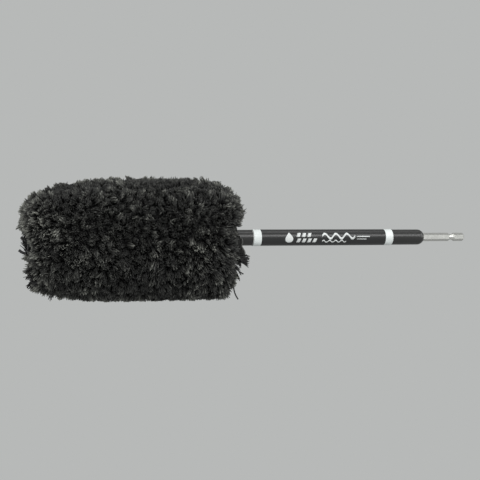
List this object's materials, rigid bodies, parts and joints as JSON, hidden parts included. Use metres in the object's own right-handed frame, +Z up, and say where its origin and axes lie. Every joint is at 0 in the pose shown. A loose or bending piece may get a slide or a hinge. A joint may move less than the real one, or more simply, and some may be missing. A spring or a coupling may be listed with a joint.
{
  "type": "wheel brush",
  "caption": "Drill-driven wheel brush: long soft pile head on a slim shaft, a hand grip that spins freely between two white bush flanges, and a grooved quarter-inch hex shank.",
  "frame": {"origin": "centre of the hex shank's end face", "axes": "+X along the shaft from the head to the drill, +Z up, with the pile's pressed flat side down"},
  "size_m": [0.3908, 0.104, 0.103],
  "materials": {
    "shank_steel": "satin bright steel",
    "tube_steel": "drawn steel tube",
    "spring_steel": "oil-black spring steel",
    "screw_steel": "zinc-plated",
    "plug_brass": "turned",
    "black_plastic": "fine moulded matte",
    "thrust_plastic": "smooth",
    "white_acetal": "smooth semi-gloss",
    "core_plastic": "extruded matte",
    "grip_rubber": "satin soft skin",
    "hub_plastic": "moulded matte",
    "foam": "open-cell foam",
    "knitted_backing": "knitted polyester",
    "microfibre_pile": "long split-fibre pile",
    "drawcord": "braided"
  },
  "bodies": {
    "brush": {"drive_shank": "shank_steel", "shaft_tube": "tube_steel", "drive_pin": "spring_steel", "nose_collar": "black_plastic", "nose_washer": "thrust_plastic", "neck_washer": "thrust_plastic", "neck_collar": "black_plastic", "rear_hub": "hub_plastic", "tip_hub": "hub_plastic", "hub_pin": "spring_steel", "core_former": "core_plastic", "foam_core": "foam", "tube_plug": "plug_brass", "tip_washer": "screw_steel", "tip_screw": "screw_steel", "tip_pad": "foam", "sleeve_backing": "knitted_backing", "pile": "microfibre_pile", "rear_drawcord": "drawcord", "front_drawcord": "drawcord"},
    "grip": {"nose_bush": "white_acetal", "neck_bush": "white_acetal", "grip_tube": "core_plastic", "grip_sleeve": "grip_rubber"}
  },
  "joints": [
    {"name": "grip_spin", "type": "hinge", "parent": "brush", "child": "grip", "pos_m": [-0.13265, 0, 0], "axis": [1, 0, 0], "continuous": true}
  ]
}
